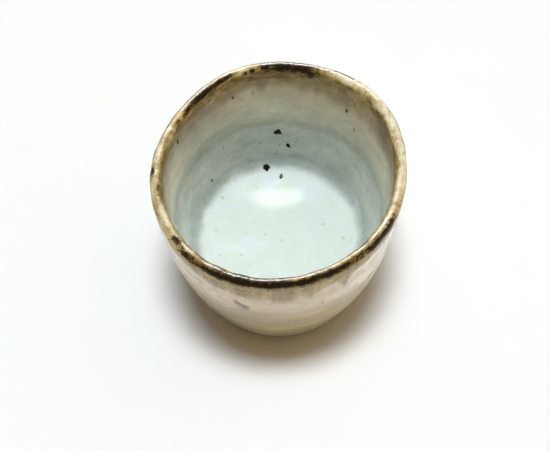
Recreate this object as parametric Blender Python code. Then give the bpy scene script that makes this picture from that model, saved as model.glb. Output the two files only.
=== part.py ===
"""A hand-thrown soba choko cup of glazed stoneware, in metres, standing on z = 0.

Every coat, the clay and the specks are laid out from one outline of the finished cup,
given as (radius, height), and then share one uneven hand-thrown shape.
"""

import math

import bmesh
import bpy
from mathutils import Matrix, Vector

# Outside of the cup
RIM_RADIUS = 0.0400
RIM_HEIGHT = 0.0637
LIP_THICKNESS = 0.0036
BELLY_RADIUS = 0.0373
BELLY_HEIGHT = 0.0250
HEEL_RADIUS = 0.0280

# Inside of the cup
BELLY_WALL = 0.0031
HEEL_WALL = 0.0038
BASE_THICKNESS = 0.0178
FLOOR_FILLET = 0.0035
FLOOR_DISH = 0.0014
WALL_SLOPE = math.radians(68)

# Foot ring, and the hollow carved in the clay above it
FOOT_HEIGHT = 0.0030
FOOT_INSET = 0.0022
FOOT_WIDTH = 0.0052
FOOT_CHAMFER = 0.0007
HOLLOW_DEPTH = 0.0050
HOLLOW_SIDE = 0.0030

# Glaze coats and the iron wash over the lip
GLAZE_THICKNESS = 0.0005
BOND_GAP = 0.0003
WASH_DROP_OUTSIDE = 0.0050
WASH_DROP_INSIDE = 0.0055

# Iron specks in the inner glaze: azimuth in degrees, distance down the inside from the
# top of the lip, width round the cup and length down the wall
SPECK_THICKNESS = 0.0005
SPECKS = (
    (88.5, 0.0296, 0.0024, 0.0021),
    (82.0, 0.0354, 0.0013, 0.0017),
    (97.0, 0.0441, 0.0024, 0.0024),
    (86.0, 0.0476, 0.0013, 0.0017),
    (153.5, 0.0078, 0.0011, 0.0022),
    (138.8, 0.0382, 0.0009, 0.0011),
    (112.5, 0.0101, 0.0009, 0.0012),
    (50.0, 0.0126, 0.0010, 0.0017),
)

# Uneven hand-thrown shape: lobes round the rim, swing either way, azimuth of one crest
RADIUS_WAVES = (
    (2, 0.00100, math.radians(62)),
    (4, 0.00015, math.radians(36)),
    (5, 0.00015, math.radians(31)),
)
HEIGHT_WAVES = (
    (2, 0.00020, math.radians(68)),
    (3, 0.00025, math.radians(63)),
    (4, 0.00030, math.radians(30)),
    (5, 0.00030, math.radians(33)),
)
FOOT_OFFSET = Vector((-0.0015, -0.0013))

# Fineness of the mesh
SEGMENTS = 40
WALL_STEPS = 10
LIP_STEPS = 8
FILLET_STEPS = 5
FLOOR_STEPS = 4
HOLLOW_STEPS = 3
SHARP_ANGLE = math.radians(40)

# Colour, roughness and metallic value of each material
MATERIALS = {
    "stoneware": ((0.27, 0.19, 0.12), 0.80, 0.0),
    "inner_glaze": ((0.56, 0.62, 0.56), 0.22, 0.0),
    "outer_glaze": ((0.52, 0.43, 0.33), 0.30, 0.0),
    "rim_wash": ((0.16, 0.11, 0.05), 0.25, 0.0),
    "iron_speck": ((0.03, 0.03, 0.025), 0.30, 0.0),
}


def bezier(start, pull, end, steps):
    """Points of a quadratic curve, all but the last."""
    points = []
    for step in range(steps):
        t = step / steps
        points.append(start * (1 - t) ** 2 + pull * (2 * t * (1 - t)) + end * t**2)
    return points


def arc(centre, radius, first, last, steps):
    """Points of an arc between two angles, all but the last."""
    points = []
    for step in range(steps):
        angle = first + (last - first) * step / steps
        points.append(centre + radius * Vector((math.cos(angle), math.sin(angle))))
    return points


def dished_floor(edge):
    """Points across the inside floor, from its edge to the axis."""
    points = []
    for step in range(FLOOR_STEPS + 1):
        outward = 1 - step / FLOOR_STEPS
        sink = FLOOR_DISH * (1 - outward**2)
        points.append(Vector((edge.x * outward, edge.y - sink)))
    return points


def cup_outline():
    """The finished cup: up the outside, over the lip, down the inside, across the floor."""
    lip_radius = LIP_THICKNESS / 2
    lip_centre = Vector((RIM_RADIUS - lip_radius, RIM_HEIGHT - lip_radius))
    lip_reach = Vector((lip_radius, 0))
    heel = Vector((HEEL_RADIUS, FOOT_HEIGHT))
    belly = Vector((BELLY_RADIUS, BELLY_HEIGHT))

    fillet_centre = Vector((HEEL_RADIUS - HEEL_WALL, FOOT_HEIGHT + BASE_THICKNESS + FLOOR_FILLET))
    fillet_start = WALL_SLOPE - math.pi / 2
    fillet_end = math.atan(2 * FLOOR_DISH / fillet_centre.x) - math.pi / 2
    fillet_top = fillet_centre + FLOOR_FILLET * Vector((math.cos(fillet_start), math.sin(fillet_start)))
    floor_edge = fillet_centre + FLOOR_FILLET * Vector((math.cos(fillet_end), math.sin(fillet_end)))
    inner_belly = Vector((BELLY_RADIUS - BELLY_WALL, 0))
    inner_belly.y = fillet_top.y + (inner_belly.x - fillet_top.x) * math.tan(WALL_SLOPE)

    points = bezier(heel, belly, lip_centre + lip_reach, WALL_STEPS)
    points += arc(lip_centre, lip_radius, 0, math.pi, LIP_STEPS)
    points += bezier(lip_centre - lip_reach, inner_belly, fillet_top, WALL_STEPS)
    points += arc(fillet_centre, FLOOR_FILLET, fillet_start, fillet_end, FILLET_STEPS)
    points += dished_floor(floor_edge)
    return points


class Outline:
    """A run of (radius, height) points, measured along its length from the heel."""

    def __init__(self, points):
        self.points = points
        self.normals = []
        self.marks = [0.0]
        for i, point in enumerate(points):
            ahead = points[min(i + 1, len(points) - 1)]
            along = (ahead - points[max(i - 1, 0)]).normalized()
            self.normals.append(Vector((along.y, -along.x)))
            if i > 0:
                self.marks.append(self.marks[-1] + (point - points[i - 1]).length)
        self.normals[-1] = Vector((0, 1))
        self.length = self.marks[-1]
        self.lip_top = self.marks[WALL_STEPS + LIP_STEPS // 2]

    def at(self, mark):
        """Point and outward normal at a distance along the outline."""
        i = 1
        while i < len(self.marks) - 1 and self.marks[i] < mark:
            i += 1
        share = (mark - self.marks[i - 1]) / (self.marks[i] - self.marks[i - 1])
        point = self.points[i - 1].lerp(self.points[i], share)
        normal = self.normals[i - 1].lerp(self.normals[i], share).normalized()
        return point, normal

    def stretch(self, first, last, depth=0.0):
        """Points from one mark to another, sunk below the surface by depth."""
        stations = [self.at(first)]
        for point, normal, mark in zip(self.points, self.normals, self.marks):
            if first < mark < last:
                stations.append((point, normal))
        stations.append(self.at(last))
        return [point - normal * depth for point, normal in stations]

    def coat(self, first, last):
        """Section of a glaze coat between two marks, back along its face, on along its bed."""
        return self.stretch(first, last)[::-1] + self.stretch(first, last, GLAZE_THICKNESS)


def wave(waves, azimuth):
    return sum(swing * math.cos(lobes * (azimuth - crest)) for lobes, swing, crest in waves)


def hand_thrown(vertex):
    """Moves a vertex of the true round cup to its place on the uneven one."""
    azimuth = math.atan2(vertex.co.y, vertex.co.x)
    radius = math.hypot(vertex.co.x, vertex.co.y)
    rise = vertex.co.z / RIM_HEIGHT
    radius *= 1 + wave(RADIUS_WAVES, azimuth) / RIM_RADIUS * rise**2
    lean = FOOT_OFFSET * (1 - rise)
    vertex.co.x = radius * math.cos(azimuth) + lean.x
    vertex.co.y = radius * math.sin(azimuth) + lean.y
    vertex.co.z += wave(HEIGHT_WAVES, azimuth) * rise**6


def material(name):
    colour, roughness, metallic = MATERIALS[name]
    made = bpy.data.materials.get(name)
    if made is None:
        made = bpy.data.materials.new(name)
        made.use_nodes = True
        shader = made.node_tree.nodes["Principled BSDF"]
        shader.inputs["Base Color"].default_value = (*colour, 1.0)
        shader.inputs["Roughness"].default_value = roughness
        shader.inputs["Metallic"].default_value = metallic
    return made


def add_piece(name, bm, material_name, parent):
    """Gives a mesh the hand-thrown shape and makes it an object."""
    for vertex in bm.verts:
        hand_thrown(vertex)
    bmesh.ops.recalc_face_normals(bm, faces=bm.faces)
    mesh = bpy.data.meshes.new(name)
    bm.to_mesh(mesh)
    bm.free()
    mesh.materials.append(material(material_name))
    mesh.shade_smooth()
    mesh.set_sharp_from_angle(angle=SHARP_ANGLE)
    piece = bpy.data.objects.new(name, mesh)
    piece.parent = parent
    bpy.context.scene.collection.objects.link(piece)
    return piece


def turned(section, closed):
    """A section spun round the Z axis; an open one starts and ends on the axis."""
    bm = bmesh.new()
    verts = [bm.verts.new((point.x, 0, point.y)) for point in section]
    edges = [bm.edges.new(pair) for pair in zip(verts, verts[1:])]
    if closed:
        edges.append(bm.edges.new((verts[-1], verts[0])))
    bmesh.ops.spin(
        bm,
        geom=verts + edges,
        axis=(0, 0, 1),
        cent=(0, 0, 0),
        angle=2 * math.pi,
        steps=SEGMENTS,
        use_merge=True,
    )
    bmesh.ops.remove_doubles(bm, verts=bm.verts, dist=BOND_GAP / 10)
    return bm


def carved_hollow():
    """Points of the hollow inside the foot ring, from its edge up to the axis."""
    edge = HEEL_RADIUS - FOOT_INSET - FOOT_WIDTH
    points = []
    for step in range(HOLLOW_STEPS + 1):
        turn = math.pi / 2 * step / HOLLOW_STEPS
        radius = edge - HOLLOW_SIDE * (1 - math.cos(turn))
        points.append(Vector((radius, FOOT_HEIGHT + HOLLOW_DEPTH * math.sin(turn))))
    points.append(Vector((0, FOOT_HEIGHT + HOLLOW_DEPTH)))
    return points


def clay_section(outline):
    """Clay under the coats, from the inside floor over the lip to the carved underside."""
    skin = outline.stretch(0, outline.length, GLAZE_THICKNESS + BOND_GAP)
    heel_edge = Vector((skin[0].x, FOOT_HEIGHT))
    return skin[::-1] + [heel_edge] + carved_hollow()


def foot_section():
    """Section of the foot ring, chamfered where it meets the table."""
    outer = HEEL_RADIUS - FOOT_INSET
    inner = outer - FOOT_WIDTH
    top = FOOT_HEIGHT - BOND_GAP
    return [
        Vector((outer, top)),
        Vector((outer, FOOT_CHAMFER)),
        Vector((outer - FOOT_CHAMFER, 0)),
        Vector((inner + FOOT_CHAMFER, 0)),
        Vector((inner, FOOT_CHAMFER)),
        Vector((inner, top)),
    ]


def speck_bead(outline, azimuth, drop, width, length):
    """A flat bead that lies on the inner glaze, just clear of it."""
    point, normal = outline.at(outline.lip_top + drop)
    point = point + normal * (SPECK_THICKNESS / 2 + BOND_GAP)
    turn = math.radians(azimuth)
    around = Vector((-math.sin(turn), math.cos(turn), 0))
    out = Vector((normal.x * math.cos(turn), normal.x * math.sin(turn), normal.y))
    place = Matrix((around, out.cross(around), out)).transposed().to_4x4()
    place.translation = (point.x * math.cos(turn), point.x * math.sin(turn), point.y)
    bm = bmesh.new()
    bmesh.ops.create_icosphere(bm, subdivisions=2, radius=0.5)
    size = Matrix.Diagonal((width, length, SPECK_THICKNESS, 1))
    bmesh.ops.transform(bm, matrix=place @ size, verts=bm.verts)
    return bm


def build_cup():
    cup = bpy.data.objects.new("soba_choko_cup", None)
    bpy.context.scene.collection.objects.link(cup)
    outline = Outline(cup_outline())
    wash_start = outline.lip_top - WASH_DROP_OUTSIDE
    wash_end = outline.lip_top + WASH_DROP_INSIDE

    add_piece("clay_body", turned(clay_section(outline), False), "stoneware", cup)
    add_piece("foot_ring", turned(foot_section(), True), "stoneware", cup)
    outer_coat = outline.coat(0, wash_start - BOND_GAP)
    add_piece("outer_glaze", turned(outer_coat, True), "outer_glaze", cup)
    wash_coat = outline.coat(wash_start, wash_end)
    add_piece("rim_wash", turned(wash_coat, True), "rim_wash", cup)
    inner_coat = outline.coat(wash_end + BOND_GAP, outline.length)
    add_piece("inner_glaze", turned(inner_coat, False), "inner_glaze", cup)
    for number, (azimuth, drop, width, length) in enumerate(SPECKS, start=1):
        bead = speck_bead(outline, azimuth, drop, width, length)
        add_piece(f"iron_speck_{number}", bead, "iron_speck", cup)


for old in list(bpy.data.objects):
    bpy.data.objects.remove(old)
build_cup()
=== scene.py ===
"""Looks of a hand-thrown soba choko cup of glazed stoneware, in metres, standing on z = 0.

Each coat is a fine closed shell laid out from the same outline as the solids. A place on the
cup is given by its azimuth and its drop: the distance along the outline from the top of the
lip, counted positive down the inside and negative down the outside.
"""

import math
import random

import bmesh
import bpy
import numpy as np
from mathutils import Matrix, Vector


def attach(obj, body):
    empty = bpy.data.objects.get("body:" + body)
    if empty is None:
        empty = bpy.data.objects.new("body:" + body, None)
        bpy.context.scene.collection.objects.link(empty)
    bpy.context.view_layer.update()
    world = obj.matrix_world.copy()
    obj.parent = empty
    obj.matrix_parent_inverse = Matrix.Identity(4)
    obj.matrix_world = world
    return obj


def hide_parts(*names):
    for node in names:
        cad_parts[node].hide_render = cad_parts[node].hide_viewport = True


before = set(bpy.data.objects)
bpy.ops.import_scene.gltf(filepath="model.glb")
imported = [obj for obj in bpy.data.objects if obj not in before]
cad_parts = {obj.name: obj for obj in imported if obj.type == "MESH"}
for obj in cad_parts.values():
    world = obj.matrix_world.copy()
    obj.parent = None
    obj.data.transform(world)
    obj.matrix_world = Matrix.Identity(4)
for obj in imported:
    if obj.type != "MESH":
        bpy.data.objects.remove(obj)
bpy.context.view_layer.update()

# As in the solids, down to the iron specks: outside of the cup
RIM_RADIUS = 0.04
RIM_HEIGHT = 0.0637
LIP_THICKNESS = 0.0036
BELLY_RADIUS = 0.0373
BELLY_HEIGHT = 0.025
HEEL_RADIUS = 0.028

# Inside of the cup
BELLY_WALL = 0.0031
HEEL_WALL = 0.0038
BASE_THICKNESS = 0.0178
FLOOR_FILLET = 0.0035
FLOOR_DISH = 0.0014
WALL_SLOPE = math.radians(68)

# Foot ring and hollow
FOOT_HEIGHT = 0.003
FOOT_INSET = 0.0022
FOOT_WIDTH = 0.0052
HOLLOW_DEPTH = 0.005
HOLLOW_SIDE = 0.003

# Coats
GLAZE_THICKNESS = 0.0005
WASH_DROP_OUTSIDE = 0.005
WASH_DROP_INSIDE = 0.0055
CLAY_DEPTH = 0.00055

# Uneven hand-thrown shape: lobes, swing either way, azimuth of a crest in degrees
RADIUS_WAVES = (
    (2, 0.001, 62), (4, 0.00015, 36), (5, 0.00015, 31),
)
HEIGHT_WAVES = (
    (2, 0.0002, 68), (3, 0.00025, 63), (4, 0.0003, 30), (5, 0.0003, 33),
)
FOOT_OFFSET = (-0.0015, -0.0013)

# Iron specks: azimuth in degrees, drop, width round the cup, length down it
SPECKS = (
    (88.5, 0.0296, 0.0024, 0.0021), (82, 0.0354, 0.0013, 0.0017), (97, 0.0441, 0.0024, 0.0024),
    (86, 0.0476, 0.0013, 0.0017), (153.5, 0.0078, 0.0011, 0.0022), (138.8, 0.0382, 0.0009, 0.0011),
    (112.5, 0.0101, 0.0009, 0.0012), (50, 0.0126, 0.001, 0.0017),
)
# How far each speck fades to olive
SPECK_FADES = (0.0, 0.0, 0.0, 0.85, 0.2, 0.25, 0.25, 0.55)
# Tails: number of the speck, direction in radians, length as a share of its radius
SPECK_TAILS = (
    (1, 0.1, 0.35), (1, 2.6, 0.55), (2, 2.3, 0.5), (4, 1.2, 0.4),
)
SPECK_RISE = 0.00018
SPECK_SINK = 0.00025
SPECK_SEED = 500
SPECK_LOBES = (2, 3, 4, 5, 7)
SPECK_LOBE_SWING = (0.04, 0.16)
SPECK_TAIL_SPREAD = 0.35
# Rings of a speck and its faded edge, as shares of its radius
SPECK_RINGS = (0.15, 0.35, 0.55, 0.72, 0.86, 0.95, 1.0)
SPECK_EDGE = (0.75, 1.1)
SPECK_EDGE_FADE = 0.5

# Throwing rings: drop, half width, height off the wall, sway up and down, azimuth of the sway
RINGS = (
    (-0.011, 0.0022, -0.00016, 0.0006, 40), (-0.0165, 0.003, 0.00018, 0.0008, 200),
    (-0.0265, 0.0032, -0.00013, 0.0009, 300), (-0.0335, 0.003, 0.00011, 0.001, 120),
    (-0.0385, 0.0028, -0.00011, 0.0008, 20), (-0.043, 0.0022, 0.00012, 0.0006, 260),
    (-0.049, 0.0028, -0.00011, 0.0008, 80), (-0.0555, 0.0026, 0.0001, 0.0007, 330),
    (0.0085, 0.0022, 0.00005, 0.0008, 60), (0.015, 0.0026, -0.00006, 0.0012, 150),
    (0.0195, 0.002, 0.00005, 0.0012, 10), (0.0255, 0.0019, -0.0002, 0.001, 75),
    (0.031, 0.0026, 0.00008, 0.001, 220), (0.037, 0.0024, -0.00006, 0.0008, 300),
)

# Iron on the lip and its runs: azimuth in degrees, half spread, drop, half reach, strength
IRON = (
    (82.5, 14.5, 0.0008, 0.002, 0.95), (72.5, 2.2, 0.0026, 0.0013, 0.9),
    (101, 1.6, 0.0014, 0.0006, 0.75), (104.5, 1.4, 0.0016, 0.0006, 0.7), (114, 5, 0.0006, 0.0007, 0.8),
    (120, 6, 0.0008, 0.0009, 0.84), (129, 9, 0.001, 0.0011, 0.92), (138.5, 4, 0.001, 0.0009, 0.74),
    (142.5, 2.5, 0.0016, 0.0007, 0.64), (148.5, 1.8, 0.0011, 0.0008, 0.58),
    (178.5, 2.4, -0.0013, 0.0008, 0.95), (190, 5, 0.0008, 0.0009, 0.44),
    (211, 2, -0.0002, 0.0009, 0.42), (217, 2.6, -0.0003, 0.001, 0.8), (229, 10, -0.0013, 0.001, 0.76),
    (268, 46, -0.0012, 0.001, 0.96), (268, 46, -0.0023, 0.0012, 0.36), (254, 19, 0.0001, 0.0014, 0.78),
    (320, 12, -0.0017, 0.0011, 0.92), (285, 10, 0.0002, 0.0007, 0.46), (57, 4.5, -0.0011, 0.0006, 0.8),
    (20, 12, -0.0022, 0.0007, 0.6), (112, 46, -0.0021, 0.0008, 0.74), (158, 10, -0.0026, 0.0009, 0.7),
)

# Blots in the glaze: azimuth in degrees, drop, radius, strength
BLOTS = (
    (43, 0.0184, 0.0007, 0.45), (78, 0.0337, 0.0006, 0.4), (89, 0.0357, 0.0004, 0.5),
    (91, 0.0391, 0.0004, 0.35), (101.5, 0.0339, 0.0004, 0.35), (102, 0.0109, 0.0008, 0.35),
    (109, 0.016, 0.0005, 0.3), (125, 0.0293, 0.0005, 0.45), (46, 0.0085, 0.0008, 0.4),
    (331, 0.033, 0.0009, 0.55), (192.5, 0.038, 0.0007, 0.5), (248.2, -0.016, 0.0012, 0.75),
    (249, -0.0178, 0.0013, 0.9), (250.4, -0.0194, 0.0014, 0.95), (252, -0.0192, 0.0012, 0.75),
    (251.6, -0.0212, 0.0012, 0.8), (266, -0.024, 0.0007, 0.45), (287, -0.0215, 0.0009, 0.5),
    (317.5, -0.0365, 0.0006, 0.6), (229.6, -0.0565, 0.001, 0.85), (230.2, -0.059, 0.0013, 0.95),
    (236.5, -0.0592, 0.0015, 0.95), (265.5, -0.0605, 0.0019, 0.9), (272.5, -0.06, 0.0018, 0.9),
    (300.5, -0.058, 0.0011, 0.85), (301.5, -0.0602, 0.0016, 0.95), (38, -0.031, 0.0009, 0.45),
    (122, -0.022, 0.0008, 0.4), (170, -0.04, 0.001, 0.45),
)

# Faint olive marks in the floor's glaze: x, y, radius, strength
FLOOR_MARKS = (
    (-0.0195, 0.0152, 0.0006, 0.5), (-0.0268, 0.007, 0.0005, 0.4), (-0.022, 0.0032, 0.0006, 0.28),
    (-0.012, 0.0015, 0.0005, 0.22), (-0.0055, 0.0011, 0.0005, 0.36), (-0.0001, -0.0015, 0.0006, 0.24),
    (0.0045, -0.0038, 0.0005, 0.18), (-0.0138, -0.0062, 0.0006, 0.36), (-0.0208, -0.0064, 0.0006, 0.28),
    (0.0139, 0.0037, 0.0005, 0.34), (0.0203, -0.0022, 0.0006, 0.42),
)

# Places above the heel where the clay is bare: azimuth in degrees, half spread, height
BARE_PLACES = (
    (30, 4, 0.0014), (110, 3, 0.0018), (165, 5, 0.0012), (230, 1.8, 0.0022), (237, 2.4, 0.0022),
    (270, 5, 0.0018), (301, 2.4, 0.0022), (335, 3, 0.0014),
)

# How pale the lip is between the iron, by azimuth in degrees
LIP_PALENESS = {
    0: 0.6, 30: 0.74, 50: 0.83, 64: 0.58, 82: 0.3, 98: 0.46, 108: 0.58, 120: 0.64, 132: 0.62,
    145: 0.52, 158: 0.55, 176: 0.51, 186: 0.45, 195: 0.42, 204: 0.66, 213: 0.66, 226: 0.46,
    245: 0.44, 270: 0.44, 295: 0.4, 318: 0.42, 334: 0.61,
}

# How light the lower and the upper inside wall and the outside are, by azimuth in degrees; on the lower
# inside wall it is painted light and shade, lighter at the sides and darker at the back
INNER_WALL_PAINTED_LIGHT = {
    0: 1.44, 40: 1.11, 65: 0.96, 90: 0.91, 112: 0.96, 140: 1.14, 180: 1.36, 215: 1.44, 325: 1.48,
}
UPPER_TONE = {
    0: 1.18, 40: 0.9, 65: 0.95, 90: 0.98, 112: 0.9, 138: 0.74, 160: 0.98, 190: 1.14,
}
# Outside it is painted light and a painted sheen, lightest on the right flank and on the left one
OUTSIDE_PAINTED_LIGHT = {
    0: 1.15, 60: 1.0, 180: 1.0, 206: 1.08, 228: 0.97, 292: 1.0, 310: 1.1, 322: 1.18, 340: 1.2,
}
# How light the foot of the outside wall is, by azimuth in degrees: painted shade, darkest at the lower
# left
FOOT_PAINTED_SHADE = {
    0: 0.92, 60: 1.0, 150: 0.95, 200: 0.86, 220: 0.7, 238: 0.7, 254: 0.9, 268: 1.0, 290: 1.0,
    308: 0.9,
}

# How light the lowest outside wall above the heel is, by azimuth in degrees: painted shade where the
# wall turns under, darkest at the lower left
HEEL_PAINTED_SHADE = {
    0: 0.85, 60: 0.9, 150: 0.82, 180: 0.72, 205: 0.56, 232: 0.56, 250: 0.78, 266: 0.95, 290: 0.95,
    312: 0.75, 335: 0.72,
}
# How far below the lip the painted shade above the heel starts, by azimuth in degrees
HEEL_SHADE_START = {
    0: 0.044, 150: 0.044, 190: 0.034, 214: 0.028, 238: 0.036, 256: 0.044,
}
HEEL_SHADE_FADE = 0.018

# How far the olive stain runs down from the lip, by azimuth in degrees
INSIDE_RUN = {
    0: 0.01, 18: 0.0138, 34: 0.015, 50: 0.013, 62: 0.0132, 72: 0.012, 84: 0.0104, 94: 0.0102,
    104: 0.0092, 118: 0.012, 132: 0.0125, 146: 0.011, 160: 0.0085, 182: 0.0085, 205: 0.006,
    270: 0.006, 320: 0.0065, 344: 0.008,
}
OUTSIDE_RUN = {
    0: 0.005, 40: 0.008, 80: 0.0105, 120: 0.009, 160: 0.007, 200: 0.0055, 222: 0.008, 238: 0.0112,
    252: 0.0132, 268: 0.0138, 282: 0.013, 293: 0.0098, 298: 0.0165, 303: 0.0092, 318: 0.0065,
    340: 0.005,
}

# Fineness of the meshes
SEGMENTS = 384
COAT_STEP = 0.0005
LIP_STEP = 0.00025
CLAY_STEP = 0.001
OUTLINE_STEPS = 400
HEEL_STEPS = 8
UNDER_STEPS = 14
HOLLOW_STEPS = 60
FOOT_STEPS = 8
TREAD_STEPS = 16
SPECK_STEPS = 40
POLE_GAP = 0.0004
SHARP_ANGLE = math.radians(50)
EASE_REACH = 0.001
AZIMUTHS = np.linspace(-math.pi, math.pi, SEGMENTS, endpoint=False)

# Uneven surface and edges: seed, lobes round the cup, pitch down it, number of waves, swing
SOFT_DENTS = (11, (1, 7), (0.012, 0.05), 14, 0.00012)
FINE_DENTS = (23, (6, 26), (0.006, 0.02), 20, 0.00003)
LIP_DENTS = (37, (5, 34), (0.01, 0.06), 18, 0.00011)
STAIN_EDGE = (51, (8, 60), (0.01, 0.02), 24)
GLAZE_EDGE = (71, (2, 30), (0.01, 0.02), 16)
FOOT_WEAR = (83, (2, 24), (0.01, 0.02), 14, 0.00008)
# Uneven floor: seed, lengths of the waves, number of waves, swing
FLOOR_SWELLS = ((61, (0.01, 0.03), 12, 0.000006), (67, (0.004, 0.01), 24, 0.000006))
# How far the edges swing
STAIN_SWING_INSIDE = 0.0009
STAIN_SWING_OUTSIDE = 0.0007
GLAZE_EDGE_SWING = 0.0006
GLAZE_EDGE_LIMITS = (-1.4, 1.6)

# Distances from the top of the lip over which one part of the cup gives way to the next
WALL_STARTS = (0.003, 0.008)
FLOOR_STARTS = (0.042, 0.05)
UPPER_TONE_STARTS = (0.002, 0.008)
INNER_WALL_PAINTED_LIGHT_STARTS = (0.022, 0.036)
OUTSIDE_PAINTED_LIGHT_STARTS = (0.0, 0.004)
FOOT_PAINTED_SHADE_STARTS = (0.02, 0.046)
# Shares of the stain's run over which it fades
INSIDE_RUN_FADE = (0.45, 1.25)
OUTSIDE_RUN_FADE = (0.62, 1.12)

# Lower edge of the outer glaze: mean height above the heel, and its rolled end
GLAZE_STOP = 0.0011
ROLL_REACH = 0.0009
ROLL_DEPTH = 0.00042
ROLL_ROUNDNESS = 0.98

# Bare clay: rounded edges, the foot's lap into the body, and the trimming tool's spiral
HEEL_ROUND = 0.0008
HEEL_PULL = (0.0002, 0.0001)
FOOT_ROUND = 0.0009
FOOT_LAP = 0.0002
SPIRAL_STARTS = (0.001, 0.006)
SPIRAL_RISE = 0.002
# Pitch and height of the spiral
HOLLOW_SPIRAL = (0.0021, 0.00013)
FOOT_SPIRAL = (0.0013, 0.00006)


def bezier(start, pull, end, steps):
    """Points of a quadratic curve, all but the last."""
    t = np.linspace(0, 1, steps, endpoint=False)[:, None]
    return (1 - t) ** 2 * np.array(start) + 2 * t * (1 - t) * np.array(pull) + t**2 * np.array(end)


def arc(centre, radius, first, last, steps):
    """Points of an arc between two angles, all but the last."""
    angle = np.linspace(first, last, steps, endpoint=False)
    return np.array(centre) + radius * np.stack([np.cos(angle), np.sin(angle)], axis=1)


def smooth(value, low, high):
    """Soft step from 0 at low to 1 at high."""
    t = np.clip((value - low) / (high - low), 0, 1)
    return t * t * (3 - 2 * t)


def lengths_along(points):
    """Distance of each point from the first, along the line through them."""
    return np.concatenate([[0], np.cumsum(np.hypot(*np.diff(points, axis=0).T))])


class Outline:
    """The finished cup's outline as (radius, height), measured along its length."""

    def __init__(self):
        lip_radius = LIP_THICKNESS / 2
        lip = np.array((RIM_RADIUS - lip_radius, RIM_HEIGHT - lip_radius))
        lip_reach = np.array((lip_radius, 0))
        fillet = np.array((HEEL_RADIUS - HEEL_WALL, FOOT_HEIGHT + BASE_THICKNESS + FLOOR_FILLET))
        start = WALL_SLOPE - math.pi / 2
        end = math.atan(2 * FLOOR_DISH / fillet[0]) - math.pi / 2
        fillet_top = fillet + FLOOR_FILLET * np.array((math.cos(start), math.sin(start)))
        floor_edge = fillet + FLOOR_FILLET * np.array((math.cos(end), math.sin(end)))
        pull_radius = BELLY_RADIUS - BELLY_WALL
        pull = (pull_radius, fillet_top[1] + (pull_radius - fillet_top[0]) * math.tan(WALL_SLOPE))
        inward = np.linspace(1, 0, OUTLINE_STEPS)
        floor = np.stack([floor_edge[0] * inward, floor_edge[1] - FLOOR_DISH * (1 - inward**2)], axis=1)

        heel = (HEEL_RADIUS, FOOT_HEIGHT)
        belly = (BELLY_RADIUS, BELLY_HEIGHT)
        outer_wall = bezier(heel, belly, lip + lip_reach, OUTLINE_STEPS)
        lip_arc = arc(lip, lip_radius, 0, math.pi, OUTLINE_STEPS)
        inner_wall = bezier(lip - lip_reach, pull, fillet_top, OUTLINE_STEPS)
        fillet_arc = arc(fillet, FLOOR_FILLET, start, end, OUTLINE_STEPS)
        bowl = np.concatenate([inner_wall, fillet_arc, floor])
        self.points = np.concatenate([outer_wall, lip_arc, self.eased(bowl)])

        lengths = lengths_along(self.points)
        self.drops = lengths - lengths[OUTLINE_STEPS + OUTLINE_STEPS // 2]
        along = np.gradient(self.points, axis=0)
        along /= np.hypot(*along.T)[:, None]
        self.normals = np.stack([along[:, 1], -along[:, 0]], axis=1)
        self.heel = self.drops[0]
        self.axis = self.drops[-1]

    @staticmethod
    def eased(bowl):
        """The inside with the turn from wall to floor eased out."""
        lengths = lengths_along(bowl)
        even = np.linspace(0, lengths[-1], 3 * OUTLINE_STEPS)
        points = np.stack([np.interp(even, lengths, column) for column in bowl.T], axis=1)
        reach = round(EASE_REACH / even[1])
        window = np.hanning(2 * reach + 1)
        before = 2 * points[0] - points[reach:0:-1]
        after = points[-2 : -reach - 2 : -1] * (-1, 1)
        padded = np.concatenate([before, points, after])
        columns = [np.convolve(column, window / window.sum(), "valid") for column in padded.T]
        return np.stack(columns, axis=1)

    def at(self, drop):
        """Radius, height and the outward normal's two shares at the given drops."""
        columns = (*self.points.T, *self.normals.T)
        return [np.interp(drop, self.drops, column) for column in columns]


OUTLINE = Outline()


def ripple(azimuth, drop, seed, lobes, pitch, count, swing=1):
    """Smooth uneven field, about 0, that closes on itself round the cup."""
    draw = random.Random(seed)
    total = 0
    for _ in range(count):
        turns = draw.randint(*lobes)
        rise = draw.choice((-1, 1)) * math.tau / draw.uniform(*pitch)
        total = total + np.cos(turns * azimuth + rise * drop + draw.uniform(0, math.tau))
    return swing * (total / math.sqrt(2 * count))


def swell(x, y, seed, lengths, count, swing):
    """Smooth uneven field over a flat floor, about 0."""
    draw = random.Random(seed)
    total = 0
    for _ in range(count):
        along = draw.uniform(0, math.tau)
        across = x * math.cos(along) + y * math.sin(along)
        total = total + np.cos(math.tau * across / draw.uniform(*lengths) + draw.uniform(0, math.tau))
    return swing * (total / math.sqrt(2 * count))


def relief(azimuth, drop):
    """How far the thrown surface stands off the true outline."""
    radius = OUTLINE.at(drop)[0]
    on_wall = smooth(np.abs(drop), *WALL_STARTS)
    on_floor = smooth(drop, *FLOOR_STARTS)
    lift = np.zeros_like(drop)
    for place, width, height, sway, crest in RINGS:
        middle = place + sway * np.cos(azimuth - math.radians(crest))
        lift += height * np.exp(-(((drop - middle) / width) ** 2))
    dents = ripple(azimuth, drop, *SOFT_DENTS)
    dents += ripple(azimuth, drop, *FINE_DENTS)
    x = radius * np.cos(azimuth)
    y = radius * np.sin(azimuth)
    lift += on_wall * (1 - on_floor) * dents
    lift += (1 - on_wall) * ripple(azimuth, drop, *LIP_DENTS)
    lift += on_floor * sum(swell(x, y, *waves) for waves in FLOOR_SWELLS)
    return lift


def wave(waves, azimuth):
    return sum(swing * np.cos(lobes * (azimuth - math.radians(crest))) for lobes, swing, crest in waves)


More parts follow.
